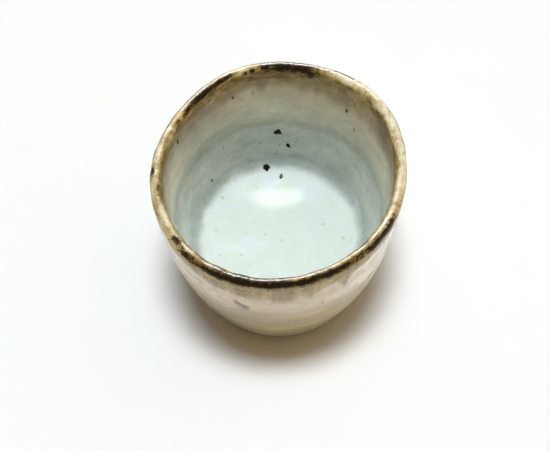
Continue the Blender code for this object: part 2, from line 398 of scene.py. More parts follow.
def hand_thrown(radius, height, azimuth):
    """Places on the uneven cup of points given on the true round one."""
    rise = height / RIM_HEIGHT
    radius = radius * (1 + wave(RADIUS_WAVES, azimuth) / RIM_RADIUS * rise**2)
    x = radius * np.cos(azimuth) + FOOT_OFFSET[0] * (1 - rise)
    y = radius * np.sin(azimuth) + FOOT_OFFSET[1] * (1 - rise)
    z = height + wave(HEIGHT_WAVES, azimuth) * rise**6
    return np.stack(np.broadcast_arrays(x, y, z), axis=-1)


def skin(azimuth, drop, depth=0.0):
    """Points of the thrown surface, sunk below it by depth."""
    radius, height, out, up = OUTLINE.at(drop)
    lift = relief(azimuth, drop) - depth
    return hand_thrown(radius + out * lift, height + up * lift, azimuth)


def degrees_from(azimuth, middle):
    """Turn from a middle azimuth in degrees, from -180 to 180."""
    return (np.degrees(azimuth) - middle + 180) % 360 - 180


def paint(azimuth, drop, patches):
    """Strength of the strongest patch at each place, half of it at the patch's edge."""
    total = np.zeros_like(drop)
    for middle, spread, place, reach, strength in patches:
        far = (degrees_from(azimuth, middle) / spread) ** 4 + ((drop - place) / reach) ** 4
        total = np.maximum(total, strength / (1 + far))
    return total


def lathe(rings, closed):
    """Vertices and faces of stacked rings; an open stack is closed by a fan at each end."""
    count, around = rings.shape[:2]
    index = np.arange(count * around).reshape(count, around)
    lower = index if closed else index[:-1]
    upper = np.roll(index, -1, axis=0) if closed else index[1:]
    quads = np.stack([lower, np.roll(lower, -1, 1), np.roll(upper, -1, 1), upper], axis=-1)
    faces = quads.reshape(-1, 4).tolist()
    verts = rings.reshape(-1, 3)
    if not closed:
        for ring in (index[0], index[-1]):
            pole = len(verts)
            verts = np.vstack([verts, verts[ring].mean(axis=0)])
            faces += [[a, b, pole] for a, b in zip(ring.tolist(), np.roll(ring, -1).tolist())]
    return verts, faces


def add_piece(name, rings, closed, material, node, fields=None):
    """Makes a closed piece of stacked rings that stands for a node of the frame."""
    verts, faces = lathe(rings, closed)
    mesh = bpy.data.meshes.new(name)
    mesh.from_pydata(verts.tolist(), [], faces)
    bm = bmesh.new()
    bm.from_mesh(mesh)
    bmesh.ops.recalc_face_normals(bm, faces=bm.faces)
    bm.to_mesh(mesh)
    bm.free()
    for field, values in (fields or {}).items():
        column = values.reshape(-1)
        if not closed:
            column = np.concatenate([column, [values[0].mean(), values[-1].mean()]])
        mesh.attributes.new(field, "FLOAT", "POINT").data.foreach_set("value", column)
    mesh.materials.append(material)
    mesh.shade_smooth()
    mesh.set_sharp_from_angle(angle=SHARP_ANGLE)
    piece = bpy.data.objects.new(name, mesh)
    bpy.context.scene.collection.objects.link(piece)
    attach(piece, "root")
    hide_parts(node)


def spread_rows(first, last, step):
    """Rows of drops round the cup from first to last, spaced by about a step."""
    drops = np.linspace(first, last, max(2, round(abs(last - first) / step) + 1))
    return np.repeat(drops[:, None], SEGMENTS, axis=1)


def round_cup(azimuth, stops):
    """Value at each azimuth of a few stops that close on themselves."""
    places, values = zip(*stops.items())
    return np.interp(np.degrees(azimuth), places, values, period=360)


def stain(azimuth, drop):
    """Olive stain from the lip: 1 above the uneven end of its run, 0 below."""
    ragged = ripple(azimuth, 0.0, *STAIN_EDGE)
    inside = round_cup(azimuth, INSIDE_RUN) + STAIN_SWING_INSIDE * ragged
    outside = round_cup(azimuth, OUTSIDE_RUN) + STAIN_SWING_OUTSIDE * ragged
    faded_inside = smooth(drop / inside, *INSIDE_RUN_FADE)
    faded_outside = smooth(-drop / outside, *OUTSIDE_RUN_FADE)
    return 1 - np.where(drop > 0, faded_inside, faded_outside)


def tone(azimuth, drop):
    """How light the glaze is round the cup, about 1: painted light and shade on the inside wall,
    painted light and sheen on the outside flanks, painted shade on the foot and above the heel.
    """

    def shade(stops):
        return round_cup(azimuth, stops) - 1

    # Painted light and shade on the lower inside wall
    low = smooth(drop, *INNER_WALL_PAINTED_LIGHT_STARTS)
    inside = shade(INNER_WALL_PAINTED_LIGHT) * low
    inside += shade(UPPER_TONE) * smooth(drop, *UPPER_TONE_STARTS) * (1 - low)
    # Painted light and sheen on the outside flanks, painted shade on the foot
    foot = smooth(-drop, *FOOT_PAINTED_SHADE_STARTS)
    outside = shade(OUTSIDE_PAINTED_LIGHT) * smooth(-drop, *OUTSIDE_PAINTED_LIGHT_STARTS) * (1 - foot)
    outside += shade(FOOT_PAINTED_SHADE) * foot
    # Painted shade above the heel
    below = -drop - round_cup(azimuth, HEEL_SHADE_START)
    heel = shade(HEEL_PAINTED_SHADE) * smooth(below, 0.0, HEEL_SHADE_FADE)
    return (1 + inside + outside) * (1 + heel)


def coat_fields(azimuth, drop):
    """What the glaze materials read at each vertex."""
    return {
        "drop": drop,
        "iron": paint(azimuth, drop, IRON),
        "stain": stain(azimuth, drop),
        "pale": round_cup(azimuth, LIP_PALENESS),
        "tone": tone(azimuth, drop),
    }


def coat(name, rows, closed, material, roll=0.0):
    """A glaze coat between its face and its bed, along rows of drops round the cup."""
    azimuth = np.broadcast_to(AZIMUTHS, rows.shape)
    face = skin(azimuth, rows, roll)
    bed = skin(azimuth, rows, GLAZE_THICKNESS)
    rings = np.concatenate([face, bed[::-1]])
    places = np.concatenate([rows, rows[::-1]])
    fields = coat_fields(np.broadcast_to(AZIMUTHS, places.shape), places)
    add_piece(f"{name}_coat", rings, closed, material, name, fields)


def inner_glaze(material):
    rows = spread_rows(WASH_DROP_INSIDE, OUTLINE.axis - POLE_GAP, COAT_STEP)
    coat("inner_glaze", rows[::-1], False, material)


def rim_wash(material):
    rows = spread_rows(-WASH_DROP_OUTSIDE, WASH_DROP_INSIDE, LIP_STEP)
    coat("rim_wash", rows, True, material)


def glaze_line():
    """Drop at which the outer glaze stops above the heel, uneven round the cup."""
    uneven = np.clip(ripple(AZIMUTHS, 0.0, *GLAZE_EDGE), *GLAZE_EDGE_LIMITS)
    line = OUTLINE.heel + GLAZE_STOP + GLAZE_EDGE_SWING * uneven
    for middle, spread, height in BARE_PLACES:
        line += height * np.exp(-((degrees_from(AZIMUTHS, middle) / spread) ** 2))
    return line


def outer_glaze(material):
    """Outer glaze, rolled over at its uneven lower edge."""
    line = glaze_line()
    share = np.linspace(0, 1, round((-OUTLINE.heel) / COAT_STEP))[:, None]
    rows = -WASH_DROP_OUTSIDE + share * (line + WASH_DROP_OUTSIDE)
    edge = np.clip(1 - (rows - line) / ROLL_REACH, 0, 1)
    roll = ROLL_DEPTH * (1 - np.sqrt(1 - ROLL_ROUNDNESS * edge**2))
    coat("outer_glaze", rows, True, material, roll)


def turning_marks(azimuth, radius, pitch, height):
    """Spiral left by the trimming tool."""
    return height * np.sin(math.tau * radius / pitch + azimuth) * smooth(radius, *SPIRAL_STARTS)


def underside(start):
    """Outline from a point on the bare heel, over the foot and into the hollow."""
    corner = (start[0] - HEEL_ROUND / 2, FOOT_HEIGHT)
    pull = (start[0] - HEEL_PULL[0], FOOT_HEIGHT + HEEL_PULL[1])
    edge = HEEL_RADIUS - FOOT_INSET - FOOT_WIDTH
    roof = FOOT_HEIGHT + HOLLOW_DEPTH
    turn = np.linspace(0, math.pi / 2, UNDER_STEPS)
    side = (edge - HOLLOW_SIDE * (1 - np.cos(turn)), FOOT_HEIGHT + HOLLOW_DEPTH * np.sin(turn))
    stretches = (
        bezier(start, pull, corner, HEEL_STEPS),
        np.linspace(corner, (edge, FOOT_HEIGHT), UNDER_STEPS),
        np.stack(side, axis=1),
        np.linspace((edge - HOLLOW_SIDE, roof), (POLE_GAP, roof), HOLLOW_STEPS),
    )
    return np.concatenate([stretch[1:] for stretch in stretches])


def clay_body(material):
    """Clay under the coats, with the bare heel and the carved underside."""
    heel_drop = OUTLINE.heel + HEEL_ROUND
    rows = spread_rows(OUTLINE.axis - POLE_GAP, heel_drop, CLAY_STEP)
    coated = skin(np.broadcast_to(AZIMUTHS, rows.shape), rows, CLAY_DEPTH)

    radius, height, out, up = OUTLINE.at(heel_drop)
    under = underside((radius - out * CLAY_DEPTH, height - up * CLAY_DEPTH))
    radius, height = under.T[:, :, None]
    marks = turning_marks(AZIMUTHS, radius, *HOLLOW_SPIRAL)
    height = height + marks * smooth(height, FOOT_HEIGHT, FOOT_HEIGHT + SPIRAL_RISE)
    rings = np.concatenate([coated, hand_thrown(radius, height, AZIMUTHS)])
    add_piece("clay_body_bare", rings, False, material, "clay_body")


def foot_ring(material):
    """Trimmed foot with worn, rounded edges."""
    outer = HEEL_RADIUS - FOOT_INSET
    inner = outer - FOOT_WIDTH
    top = FOOT_HEIGHT + FOOT_LAP
    first = outer - FOOT_ROUND
    last = inner + FOOT_ROUND
    stretches = (
        np.linspace((outer, top), (outer, FOOT_ROUND), FOOT_STEPS)[:-1],
        arc((first, FOOT_ROUND), FOOT_ROUND, 0, -math.pi / 2, FOOT_STEPS),
        np.linspace((first, 0), (last, 0), TREAD_STEPS)[:-1],
        arc((last, FOOT_ROUND), FOOT_ROUND, -math.pi / 2, -math.pi, FOOT_STEPS),
        np.linspace((inner, FOOT_ROUND), (inner, top), FOOT_STEPS),
    )
    section = np.concatenate(stretches)
    radius, height = section.T[:, :, None]
    worn = ripple(AZIMUTHS, 0.0, *FOOT_WEAR)
    radius = radius + worn * np.sign(radius - (outer + inner) / 2)
    marks = np.abs(turning_marks(AZIMUTHS, radius, *FOOT_SPIRAL))
    height = height + marks * (height < FOOT_ROUND / 2)
    rings = hand_thrown(radius, height, AZIMUTHS)
    add_piece("foot_ring_turned", rings, True, material, "foot_ring")


def speck_edge(number, angle):
    """Uneven edge of a speck, about 1, with its tails."""
    draw = random.Random(SPECK_SEED + number)
    edge = np.ones_like(angle)
    for lobes in SPECK_LOBES:
        swing = draw.uniform(*SPECK_LOBE_SWING) / math.sqrt(lobes - 1)
        edge += swing * np.cos(lobes * angle + draw.uniform(0, math.tau))
    for owner, direction, reach in SPECK_TAILS:
        if owner == number:
            turn = (angle - direction + math.pi) % math.tau - math.pi
            edge += reach * np.exp(-((turn / SPECK_TAIL_SPREAD) ** 2))
    return edge


def iron_speck(number, azimuth, drop, width, length, material):
    """An uneven drop of melted iron that stands a little proud of the glaze."""
    angle = np.linspace(0, math.tau, SPECK_STEPS, endpoint=False)
    share = np.array(SPECK_RINGS)[:, None]
    reach = share * speck_edge(number, angle)
    azimuths = math.radians(azimuth) + width / 2 * reach * np.cos(angle) / OUTLINE.at(drop)[0]
    drops = drop + length / 2 * reach * np.sin(angle)
    full = np.ones(SPECK_STEPS)
    dome = SPECK_RISE * np.sqrt(np.clip(1 - share**2, 0, 1)) * full
    face = skin(azimuths, drops, -dome)
    bed = skin(azimuths[::-2], drops[::-2], SPECK_SINK)
    fade = SPECK_FADES[number - 1] + SPECK_EDGE_FADE * smooth(share, *SPECK_EDGE) * full
    fields = {"fade": np.concatenate([fade, fade[::-2]])}
    rings = np.concatenate([face, bed])
    node = f"iron_speck_{number}"
    add_piece(f"iron_blot_{number}", rings, False, material, node, fields)


def srgb(colour):
    """Linear colour of a display colour given as 0xRRGGBB."""
    shares = [value / 255 for value in colour.to_bytes(3, "big")]
    linear = [s / 12.92 if s <= 0.04045 else ((s + 0.055) / 1.055) ** 2.4 for s in shares]
    return (*linear, 1.0)


class Tree:
    """Short spellings for building the nodes of a material or a world."""

    def __init__(self, owner):
        owner.use_nodes = True
        self.nodes = owner.node_tree.nodes
        self.links = owner.node_tree.links

    def feed(self, socket, value):
        if isinstance(value, bpy.types.NodeSocket):
            self.links.new(value, socket)
        else:
            socket.default_value = value

    def add(self, kind, *values, **settings):
        node = self.nodes.new(kind)
        for key, value in settings.items():
            setattr(node, key, value)
        for socket, value in zip(node.inputs, values):
            self.feed(socket, value)
        return node

    def math(self, operation, *values):
        return self.add("ShaderNodeMath", *values, operation=operation).outputs[0]

    def plus(self, first, second):
        return self.math("ADD", first, second)

    def times(self, first, second):
        return self.math("MULTIPLY", first, second)

    def larger(self, first, second):
        return self.math("MAXIMUM", first, second)

    def times_plus(self, first, second, third):
        return self.math("MULTIPLY_ADD", first, second, third)

    def swing(self, share, width):
        """A share from 0 to 1, turned into a swing about 0 of the given width."""
        return self.times_plus(share, width, -width / 2)

    def step(self, value, low, high, start=0, end=1):
        """Soft step of a value, from start at low to end at high."""
        ends = (low, high, start, end)
        return self.add("ShaderNodeMapRange", value, *ends, interpolation_type="SMOOTHSTEP").outputs[0]


class Finish(Tree):
    """A material's nodes."""

    def __init__(self, name):
        self.material = bpy.data.materials.new(name)
        super().__init__(self.material)
        self.shader = self.nodes["Principled BSDF"]
        self.position = self.add("ShaderNodeTexCoord").outputs["Object"]

    def mix(self, share, first, second, blend="MIX"):
        node = self.add("ShaderNodeMix", data_type="RGBA", blend_type=blend)
        self.feed(node.inputs["Factor"], share)
        self.feed(node.inputs[6], first)
        self.feed(node.inputs[7], second)
        return node.outputs[2]

    def toned(self, colour, tone, share):
        """A colour made lighter or darker by a tone about 0, as far as the share goes."""
        level = self.times_plus(tone, share, 1)
        grey = self.add("ShaderNodeCombineColor", level, level, level).outputs[0]
        return self.mix(1, colour, grey, "MULTIPLY")

    def noise(self, vector, scale, detail, roughness):
        """Noise in three dimensions, so its second input stays 0."""
        return self.add("ShaderNodeTexNoise", vector, 0, scale, detail, roughness).outputs[0]

    def grains(self, scale, chance, size):
        """Scattered round grains: a share of the cells holds one, with an uneven size."""
        node = self.add("ShaderNodeTexVoronoi", self.position, 0, scale)
        pick = self.add("ShaderNodeSeparateColor", node.outputs["Color"])
        held = self.math("LESS_THAN", pick.outputs[0], chance)
        reach = self.times_plus(pick.outputs[1], size * 0.7, size * 0.5)
        near = self.math("SUBTRACT", reach, node.outputs["Distance"])
        return self.times(held, self.step(near, 0, size * 0.4))

    def bands(self, value, stops):
        node = self.add("ShaderNodeValToRGB", value)
        ramp = node.color_ramp
        while len(ramp.elements) < len(stops):
            ramp.elements.new(0.5)
        for element, (place, colour) in zip(ramp.elements, stops):
            element.position = place
            element.color = srgb(colour)
        return node.outputs[0]

    def attribute(self, name):
        return self.add("ShaderNodeAttribute", attribute_name=name).outputs["Fac"]

    def vector(self, operation, *values):
        return self.add("ShaderNodeVectorMath", *values, operation=operation).outputs

    def bump(self, height, distance, strength):
        node = self.add("ShaderNodeBump")
        self.feed(node.inputs["Strength"], strength)
        self.feed(node.inputs["Distance"], distance)
        self.feed(node.inputs["Height"], height)
        return node.outputs[0]

    def finish(self, colour, roughness, normal, specular):
        self.shader.inputs["Specular IOR Level"].default_value = specular
        self.feed(self.shader.inputs["Base Color"], colour)
        self.feed(self.shader.inputs["Roughness"], roughness)
        self.feed(self.shader.inputs["Normal"], normal)
        return self.material


class Glaze(Finish):
    """A glaze's nodes, with its drop and its noises."""

    def __init__(self, name):
        super().__init__(name)
        self.drop = self.attribute("drop")
        for noise, (stretch, *grain) in GLAZE_NOISES.items():
            vector = streak_vector(self, stretch) if stretch else self.position
            setattr(self, noise, self.noise(vector, *grain))

    def along(self, *ends):
        """Soft step along the drop."""
        return self.step(self.drop, *ends)


# Glaze colour along the drop, from the heel over the lip to the middle of the floor
# The darker band at the foot of the inside wall, before the pale floor, is painted shade where wall
# meets floor
# The olive-brown outside towards the heel is partly the glaze's colour and partly painted shade
GLAZE_AND_PAINTED_SHADE_COLOURS = (
    (-0.062, 0x7A6845), (-0.054, 0x948360), (-0.042, 0xAF9F79), (-0.03, 0xC7B897),
    (-0.022, 0xDECFB5), (-0.015, 0xE8DCC5), (-0.01, 0xE5D9C2), (-0.005, 0xDCCBAB), (0.0, 0xC8AE78),
    (0.005, 0xBCAA7E), (0.009, 0xC2B898), (0.014, 0xD4CFB6), (0.02, 0xCBCDB8), (0.0255, 0xACB1A3),
    (0.031, 0xB2B9B2), (0.035, 0xADB4AC), (0.04, 0xA0A6A0), (0.043, 0xB4BEB9), (0.0458, 0xE2EBE9),
    (0.07, 0xE6EFEB),
)
DROP_START = -0.065
DROP_SPAN = 0.14
# How far the bands run down near the lip and sway elsewhere
BAND_RUN = 0.008
BAND_SWAY = 0.006

# Finish of each coat: least and greatest roughness, specular level, strength of the orange peel
INNER_FINISH = (0.04, 0.08, 0.5, 0.03)
RIM_FINISH = (0.3, 0.42, 0.28, 0.9)
OUTER_FINISH = (0.2, 0.32, 0.2, 0.03)
IRON_ROUGHNESS = 0.22
PEEL_HEIGHT = 0.0003

# Noises: how tight down the wall, if they follow it; scale per metre, detail, roughness
GLAZE_NOISES = {
    "streaks": (0.2, 170, 3, 0.55),
    "smears": (2.4, 170, 4, 0.62),
    "rings": (5, 42, 3, 0.55),
    "drips": (0.1, 330, 3, 0.6),
    "patches": (0.6, 75, 2, 0.5),
    "clouds": (None, 95, 4, 0.58),
    "mottle": (None, 420, 4, 0.6),
    "fine": (None, 1500, 3, 0.6),
    "peel": (None, 620, 4, 0.62),
}
BLOT_STRETCH = 0.8
NOISE_ENDS = (0.3, 0.7)

# Brush strokes in the glaze: turn in radians per metre of drop, stretch, scale, depth of tone
BRUSH_STROKES = (
    (45, 3.2, 60, 0.085),
    (-38, 2.4, 105, 0.075),
)
BRUSH_NOISE = (5, 0.62)
BRUSH_ENDS = (0.32, 0.68)
WARM_BRUSH = (30, 2)
WARM_NOISE = (40, 3, 0.55)

# Soft steps along the drop: where they begin and end, and the values there if not 0 and 1
INSIDE = (-0.002, 0.002)
ON_WALL = (0.04, 0.047, 1, 0)
ON_FLOOR = (0.043, 0.049)
FLOOR_MARKS_ON = (0.038, 0.042)
# Stain outside and inside
STAIN_RAGGED = (1.3, 0.6)
STAIN_STRENGTH = (0.95, 0.76)
# Edges of the blots and marks
BLOT_EDGE = (0.5, 1.3)
FLOOR_MARK_EDGE = (0.3, 1.3)

# Raggedness; of the lip and the iron by smears, mottle and fine noise
STAIN_UNEVEN = 1.2
BLOT_UNEVEN = 3
LIP_UNEVEN = (1.6, 0.9, 0.6)
IRON_UNEVEN = (0.9, 1.2, 1.2)

# Lip: slower fall of its tones down the inside, ragged end, and the crest's shift and fall
LIP_FALL_INSIDE = 0.6
LIP_RAGGED = 0.004
LIP_END = (0.003, 0.008, 1, 0)
CREST_SHIFT = 0.0006
CREST_FALL_INSIDE = 1.35
CREST_FADE = (0.0006, 0.0046, 1, 0.4)
LIP_COLOURS = (
    (0.02, 0x685024), (0.22, 0x947C46), (0.42, 0xBEA872), (0.6, 0xDACAA2), (0.88, 0xF3E9D0),
)
# Layers: soft step of what they show by, colour
LIP_PATCHES = (
    ((0.54, 0.7, 0, 0.25), srgb(0xCEA65A)),
    ((0.3, 0.46, 0.3, 0), srgb(0x96905A)),
)
IRON_LAYERS = (
    ((0.12, 0.44, 0, 0.8), srgb(0x7E6A34)),
    ((0.34, 0.66, 0, 0.95), srgb(0x4C3717)),
    ((0.52, 0.88), srgb(0x201809)),
)

# White that the outside flanks go towards: a painted sheen
PAINTED_SHEEN_WHITE = srgb(0xF8F4F1)
WARM_WALL = srgb(0xCCBCA2)
TANS = (srgb(0xBAA473), srgb(0x947F54))
OLIVES = (srgb(0xA48A52), srgb(0x7C6230))
# Brown of the blots outside and inside
BLOT_BROWNS = (srgb(0x583E10), srgb(0x4C381E))
FLOOR_MARK_OLIVE = srgb(0x949868)
# Milk, haze and flecks in the floor's glaze: noise, soft step of it, colour
FLOOR_CLOUDS = (
    ((110, 5, 0.62), (0.46, 0.68, 0, 0.75), srgb(0xF0F4F1)),
    ((75, 3, 0.55), (0.44, 0.62, 0.46, 0), srgb(0xDAE4D0)),
    ((240, 4, 0.6), (0.62, 0.74, 0, 0.6), srgb(0xCAD0A2)),
)
# Grains: scale per metre, share of the cells that hold one, size; then strength and colour
GLAZE_GRAINS = ((150, 0.12, 0.1), 0.5, srgb(0x604E32))
CLAY_SAND = ((620, 0.25, 0.16), 0.7, srgb(0x9C8566))
CLAY_IRON = ((260, 0.14, 0.13), 0.8, srgb(0x302216))
# Finish of the bare clay and the specks; a bump is given by its height and strength
CLAY_ROUGHNESS = (0.7, 0.92)
CLAY_SPECULAR = 0.5
CLAY_BUMP = (0.0003, 0.55)
SPECK_ROUGHNESS = (0.3, 0.55)
SPECK_SPECULAR = 0.15
SPECK_BUMP = (0.0002, 0.3)


def drop_bands(tree, drop):
    """Glaze colour along the drop, with its painted shade."""
    end = DROP_START + DROP_SPAN
    place = tree.add("ShaderNodeMapRange", drop, DROP_START, end, 0, 1).outputs[0]
    stops = [((at - DROP_START) / DROP_SPAN, colour) for at, colour in GLAZE_AND_PAINTED_SHADE_COLOURS]
    return tree.bands(place, stops)


def from_above(tree):
    """Position on the cup with its height left out."""
    return tree.vector("MULTIPLY", tree.position, (1, 1, 0))[0]


def streak_vector(tree, stretch):
    """Coordinates round the cup and down it, for marks that run along the wall."""
    unit = tree.vector("NORMALIZE", from_above(tree))[0]
    split = tree.add("ShaderNodeSeparateXYZ", unit)
    x = tree.times(split.outputs[0], RIM_RADIUS)
    y = tree.times(split.outputs[1], RIM_RADIUS)
    return tree.add("ShaderNodeCombineXYZ", x, y, tree.times(tree.drop, stretch)).outputs[0]


def brushed(tree, turn, stretch):
    """Coordinates for brush strokes that climb round the cup, by a turn in radians per metre."""
    strokes = streak_vector(tree, stretch)
    node = tree.add("ShaderNodeVectorRotate", strokes, rotation_type="Z_AXIS")
    tree.feed(node.inputs["Angle"], tree.times(tree.drop, turn))
    return node.outputs[0]


def glaze_bands_with_painted_shade(tree):
    """Milky glaze that changes down the cup, in bands that run and sway, with painted shade at the foot
    of the inside wall and towards the heel.
    """
    near_lip = tree.step(tree.math("ABSOLUTE", tree.drop), 0.01, 0.018, 1, 0)
    run = tree.times(near_lip, tree.swing(tree.streaks, BAND_RUN))
    sway = tree.times(tree.swing(tree.clouds, BAND_SWAY), tree.along(-0.03, -0.01, 0.3, 1))
    return drop_bands(tree, tree.plus(tree.plus(tree.drop, sway), run))


def brushed_wall(tree, colour):
    """Brush strokes, clouds, pits, throwing rings and warm patches on the wall, with the painted light
    and shade of the tone and a painted sheen on the outside flanks.
    """
    on_wall = tree.along(*ON_WALL)
    strokes_on = tree.times(on_wall, tree.along(-0.004, 0.004, 0.4, 1))
    for turn, stretch, scale, depth in BRUSH_STROKES:
        strokes = tree.noise(brushed(tree, turn, stretch), scale, *BRUSH_NOISE)
        colour = tree.toned(colour, tree.step(strokes, *BRUSH_ENDS, -depth, depth), strokes_on)
    # Painted light and shade carried by the tone
    tone = tree.math("SUBTRACT", tree.attribute("tone"), 1)
    colour = tree.toned(colour, tone, on_wall)
    # Painted sheen: the outside flanks, where the tone is above 1, go towards white
    painted_sheen = tree.times(tree.along(-0.004, 0, 4, 0), tone)
    colour = tree.mix(tree.larger(painted_sheen, 0), colour, PAINTED_SHEEN_WHITE)
    colour = tree.toned(colour, tree.step(tree.clouds, 0.32, 0.68, -0.055, 0.045), strokes_on)
    colour = tree.toned(colour, tree.step(tree.mottle, 0.3, 0.7, -0.055, 0.045), strokes_on)

    below = tree.times(tree.along(-0.026, -0.014, 1, 0), tree.along(-0.06, -0.05, 0.95, 1.35))
    colour = tree.toned(colour, tree.step(tree.rings, 0.34, 0.66, -0.13, 0.09), below)

    warm = tree.noise(brushed(tree, *WARM_BRUSH), *WARM_NOISE)
    warm = tree.times(tree.step(warm, 0.46, 0.7), tree.along(0.018, 0.03, 0.38, 0.06))
    warm = tree.times(tree.times(warm, on_wall), tree.along(-0.012, -0.002))
    return tree.mix(warm, colour, WARM_WALL)


def clouded_floor(tree, colour):
    on_floor = tree.along(*ON_FLOOR)
    for noise, shows, tint in FLOOR_CLOUDS:
        amount = tree.step(tree.noise(tree.position, *noise), *shows)
        colour = tree.mix(tree.times(amount, on_floor), colour, tint)
    return colour


def stained(tree, colour):
    """Olive and tan runs below the lip, streaked down the wall."""
    field = tree.attribute("stain")
    inside = tree.along(*INSIDE)
    runs = tree.add("ShaderNodeMix", inside)
    tree.feed(runs.inputs[2], tree.drips)
    tree.feed(runs.inputs[3], tree.streaks)
    ragged = tree.swing(runs.outputs[0], STAIN_UNEVEN)
    ragged = tree.times(ragged, tree.step(field, 0, 0.25))
    ragged = tree.times(ragged, tree.along(*INSIDE, *STAIN_RAGGED))
    ragged = tree.times(ragged, tree.step(field, 0.7, 1, 1, 0.35))
    amount = tree.step(tree.plus(field, ragged), 0.04, 0.96)
    tan = tree.mix(tree.step(tree.drips, 0.36, 0.66), *TANS)
    olive = tree.mix(tree.step(tree.streaks, 0.34, 0.66), *OLIVES)
    amount = tree.times(amount, tree.along(*INSIDE, *STAIN_STRENGTH))
    return tree.mix(amount, colour, tree.mix(inside, tan, olive))


def uneven(tree, smears, mottle, fine):
    """Three noises about 0, each with its own swing, in one."""
    coarse = tree.plus(tree.swing(tree.smears, smears), tree.swing(tree.mottle, mottle))
    return tree.plus(coarse, tree.swing(tree.fine, fine))


def away(tree, drop, inside):
    """Distance from the top of the lip, scaled on the inside."""
    return tree.larger(tree.times(drop, inside), tree.times(drop, -1))


def layered(tree, colour, amount, layers):
    """A colour under layers that show by an amount."""
    for shows, tint in layers:
        colour = tree.mix(tree.step(amount, *shows), colour, tint)
    return colour


def lip_tones(tree, colour):
    """Cream on the crest of the lip, breaking to ochre and olive at its edges."""
    depth = away(tree, tree.drop, LIP_FALL_INSIDE)
    near = tree.step(tree.times_plus(tree.streaks, LIP_RAGGED, depth), *LIP_END)
    off_crest = away(tree, tree.plus(tree.drop, CREST_SHIFT), CREST_FALL_INSIDE)
    crest = tree.step(off_crest, *CREST_FADE)
    pale = tree.times_plus(tree.attribute("pale"), crest, uneven(tree, *LIP_UNEVEN))
    tones = tree.bands(pale, LIP_COLOURS)
    tones = layered(tree, tones, tree.patches, LIP_PATCHES)
    return tree.mix(near, colour, tones)


def ironed(tree, colour):
    """Melted iron, olive where it thins, then brown, then nearly black; and its amount."""
    iron = tree.attribute("iron")
    ragged = uneven(tree, *IRON_UNEVEN)
    amount = tree.times_plus(ragged, tree.step(iron, 0.02, 0.25), iron)
    return layered(tree, colour, amount, IRON_LAYERS), amount


def spotted(tree, place, ragged, edge, marks):
    """Strength of the strongest of some round marks: middle, radius, strength."""
    total = 0
    for middle, radius, strength in marks:
        far = tree.vector("DISTANCE", place, middle)["Value"]
        near = tree.step(tree.times_plus(far, 1 / radius, ragged), *edge, strength, 0)
        total = tree.larger(total, near)
    return total


def blotted(tree, colour):
    """Small dark blots, longer down the wall than round it, and faint marks on the floor."""
    ragged = tree.swing(tree.fine, BLOT_UNEVEN)
    blots = []
    for azimuth, drop, radius, strength in BLOTS:
        turn = math.radians(azimuth)
        middle = (RIM_RADIUS * math.cos(turn), RIM_RADIUS * math.sin(turn), drop * BLOT_STRETCH)
        blots.append((middle, radius, strength))
    place = streak_vector(tree, BLOT_STRETCH)
    brown = tree.mix(tree.along(*INSIDE), *BLOT_BROWNS)
    colour = tree.mix(spotted(tree, place, ragged, BLOT_EDGE, blots), colour, brown)

    marks = [((x, y, 0), radius, strength) for x, y, radius, strength in FLOOR_MARKS]
    amount = spotted(tree, from_above(tree), ragged, FLOOR_MARK_EDGE, marks)
    amount = tree.times(amount, tree.along(*FLOOR_MARKS_ON))
    return tree.mix(amount, colour, FLOOR_MARK_OLIVE)


def sprinkled(tree, colour, grains, strength, tint):
    """A colour with grains in it, and the grains."""
    amount = tree.grains(*grains)
    return tree.mix(tree.times(amount, strength), colour, tint), amount


def glaze(name, smoothest, roughest, specular, peel):
    """One glaze over all coats, so that it runs on unbroken where they meet."""
    tree = Glaze(name)
    colour = glaze_bands_with_painted_shade(tree)
    colour = brushed_wall(tree, colour)
    colour = clouded_floor(tree, colour)
    colour = stained(tree, colour)
    colour = lip_tones(tree, colour)
    colour, iron = ironed(tree, colour)
    colour = blotted(tree, colour)
    colour, _ = sprinkled(tree, colour, *GLAZE_GRAINS)

    roughness = tree.step(tree.clouds, *NOISE_ENDS, smoothest, roughest)
    roughness = tree.plus(roughness, tree.along(-0.045, -0.02, 0.3, 0))
    glassier = tree.math("SUBTRACT", IRON_ROUGHNESS, roughness)
    roughness = tree.times_plus(tree.step(iron, 0.15, 0.45), glassier, roughness)
    normal = tree.bump(tree.peel, PEEL_HEIGHT, peel)
    return tree.finish(colour, roughness, normal, specular)


def stoneware():
    """Bare fired clay, brown and gritty."""
    tree = Finish("bare_stoneware")
    clouds = tree.noise(tree.position, 110, 4, 0.6)
    grit = tree.noise(tree.position, 1500, 4, 0.65)
    colour = tree.mix(tree.step(clouds, *NOISE_ENDS), srgb(0x5E442B), srgb(0x826343))
    colour = tree.mix(tree.step(grit, 0.52, 0.7, 0, 0.6), colour, srgb(0x422F1E))
    colour, sand = sprinkled(tree, colour, *CLAY_SAND)
    colour, _ = sprinkled(tree, colour, *CLAY_IRON)
    roughness = tree.step(grit, *NOISE_ENDS, *CLAY_ROUGHNESS)
    normal = tree.bump(tree.plus(grit, sand), *CLAY_BUMP)
    return tree.finish(colour, roughness, normal, CLAY_SPECULAR)


def iron_glass():
    """Melted iron specks: almost black, fading to olive at the edge where they bleed."""
    tree = Finish("iron_glass")
    mottle = tree.noise(tree.position, 1400, 4, 0.6)
    colour = tree.mix(tree.step(mottle, 0.4, 0.72), srgb(0x080906), srgb(0x221E12))
    faded = tree.times(tree.attribute("fade"), tree.step(mottle, 0.25, 0.6, 0.6, 1.1))
    colour = tree.mix(faded, colour, srgb(0x706E50))
    roughness = tree.step(mottle, *NOISE_ENDS, *SPECK_ROUGHNESS)
    normal = tree.bump(mottle, *SPECK_BUMP)
    return tree.finish(colour, roughness, normal, SPECK_SPECULAR)


